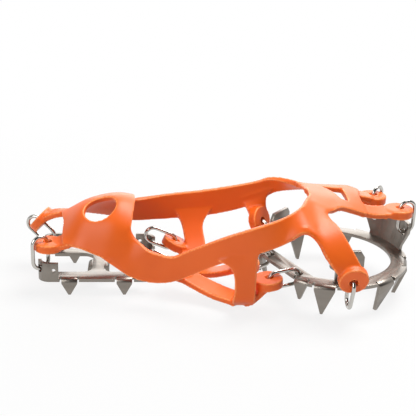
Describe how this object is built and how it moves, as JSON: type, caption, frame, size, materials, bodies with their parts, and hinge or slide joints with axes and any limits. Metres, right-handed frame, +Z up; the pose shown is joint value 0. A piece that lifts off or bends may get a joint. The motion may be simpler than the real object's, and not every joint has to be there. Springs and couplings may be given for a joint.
{
  "type": "hiking crampon",
  "caption": "Slip-on hiking crampon: toothed steel plates under forefoot and heel, hung by wire links from a stretch elastomer harness that pulls over a boot.",
  "frame": {"origin": "on the ground plane through the tooth tips, under the middle of the bounding box", "axes": "+X from toe to heel along the forefoot, +Z up out of the ground, +Y to the far side of the foot in the source view"},
  "size_m": [0.2077, 0.09, 0.0568],
  "materials": {
    "plate_steel": "brushed stainless sheet",
    "link_wire": "polished stainless wire",
    "harness_elastomer": "satin moulded elastomer"
  },
  "bodies": {
    "forefoot": {"front_plate": "plate_steel", "toe_panel": "harness_elastomer", "near_toe_arm": "harness_elastomer", "far_toe_arm": "harness_elastomer", "near_front_band": "harness_elastomer", "far_front_band": "harness_elastomer", "near_strut": "harness_elastomer", "far_strut": "harness_elastomer", "near_ball_strap": "harness_elastomer", "far_ball_strap": "harness_elastomer", "near_arch_strap": "harness_elastomer", "far_arch_strap": "harness_elastomer"},
    "hindfoot": {"heel_plate": "plate_steel", "near_mid_band": "harness_elastomer", "far_mid_band": "harness_elastomer", "heel_panel": "harness_elastomer", "near_side_strap": "harness_elastomer", "far_side_strap": "harness_elastomer", "near_heel_arm": "harness_elastomer", "far_heel_arm": "harness_elastomer"},
    "near_toe_link": {"near_toe_link": "link_wire"},
    "far_toe_link": {"far_toe_link": "link_wire"},
    "near_ball_link": {"near_ball_link": "link_wire"},
    "far_ball_link": {"far_ball_link": "link_wire"},
    "near_arch_link": {"near_arch_link": "link_wire"},
    "far_arch_link": {"far_arch_link": "link_wire"},
    "near_side_link": {"near_side_link": "link_wire"},
    "far_side_link": {"far_side_link": "link_wire"},
    "near_heel_link": {"near_heel_link": "link_wire"},
    "far_heel_link": {"far_heel_link": "link_wire"}
  },
  "joints": [
    {"name": "midfoot_flex", "type": "hinge", "parent": "forefoot", "child": "hindfoot", "pos_m": [0.03183, -0.00791, 0.0171], "axis": [0.4384, -0.8988, 0], "range_deg": [-12, 20], "stiffness_Nm_per_rad": 0.2, "deforming": ["near_mid_band", "far_mid_band"]},
    {"name": "near_toe_link_twist", "type": "hinge", "parent": "forefoot", "child": "near_toe_link", "pos_m": [-0.09252, -0.0041, 0.0138], "axis": [0.2909, 0.1818, 0.9393], "range_deg": [-10, 10]},
    {"name": "far_toe_link_twist", "type": "hinge", "parent": "forefoot", "child": "far_toe_link", "pos_m": [-0.09252, 0.0293, 0.0138], "axis": [-0.2394, 0.0778, 0.9678], "range_deg": [-10, 10]},
    {"name": "near_ball_link_twist", "type": "hinge", "parent": "forefoot", "child": "near_ball_link", "pos_m": [-0.03525, -0.00263, 0.0138], "axis": [0.969, -0.2416, -0.0511], "range_deg": [-10, 10]},
    {"name": "far_ball_link_twist", "type": "hinge", "parent": "forefoot", "child": "far_ball_link", "pos_m": [-0.03525, 0.02783, 0.0138], "axis": [0.9963, 0.0697, -0.0511], "range_deg": [-10, 10]},
    {"name": "near_arch_link_twist", "type": "hinge", "parent": "forefoot", "child": "near_arch_link", "pos_m": [0.03753, -0.01959, 0.0171], "axis": [-0.9498, -0.3086, -0.0523], "range_deg": [-10, 10]},
    {"name": "far_arch_link_twist", "type": "hinge", "parent": "forefoot", "child": "far_arch_link", "pos_m": [0.02613, 0.00377, 0.0171], "axis": [-0.8279, -0.5584, -0.0523], "range_deg": [-10, 10]},
    {"name": "near_side_link_twist", "type": "hinge", "parent": "hindfoot", "child": "near_side_link", "pos_m": [0.05965, -0.03358, 0.0171], "axis": [0.0236, -0.6754, 0.7371], "range_deg": [-10, 10]},
    {"name": "far_side_link_twist", "type": "hinge", "parent": "hindfoot", "child": "far_side_link", "pos_m": [0.02873, 0.02981, 0.0171], "axis": [-0.5177, 0.4344, 0.7371], "range_deg": [-10, 10]},
    {"name": "near_heel_link_twist", "type": "hinge", "parent": "hindfoot", "child": "near_heel_link", "pos_m": [0.09868, 0.01107, 0.0285], "axis": [-0.3392, -0.051, 0.9393], "range_deg": [-10, 10]},
    {"name": "far_heel_link_twist", "type": "hinge", "parent": "hindfoot", "child": "far_heel_link", "pos_m": [0.08794, 0.03308, 0.0285], "axis": [-0.249, -0.236, 0.9393], "range_deg": [-10, 10]}
  ]
}
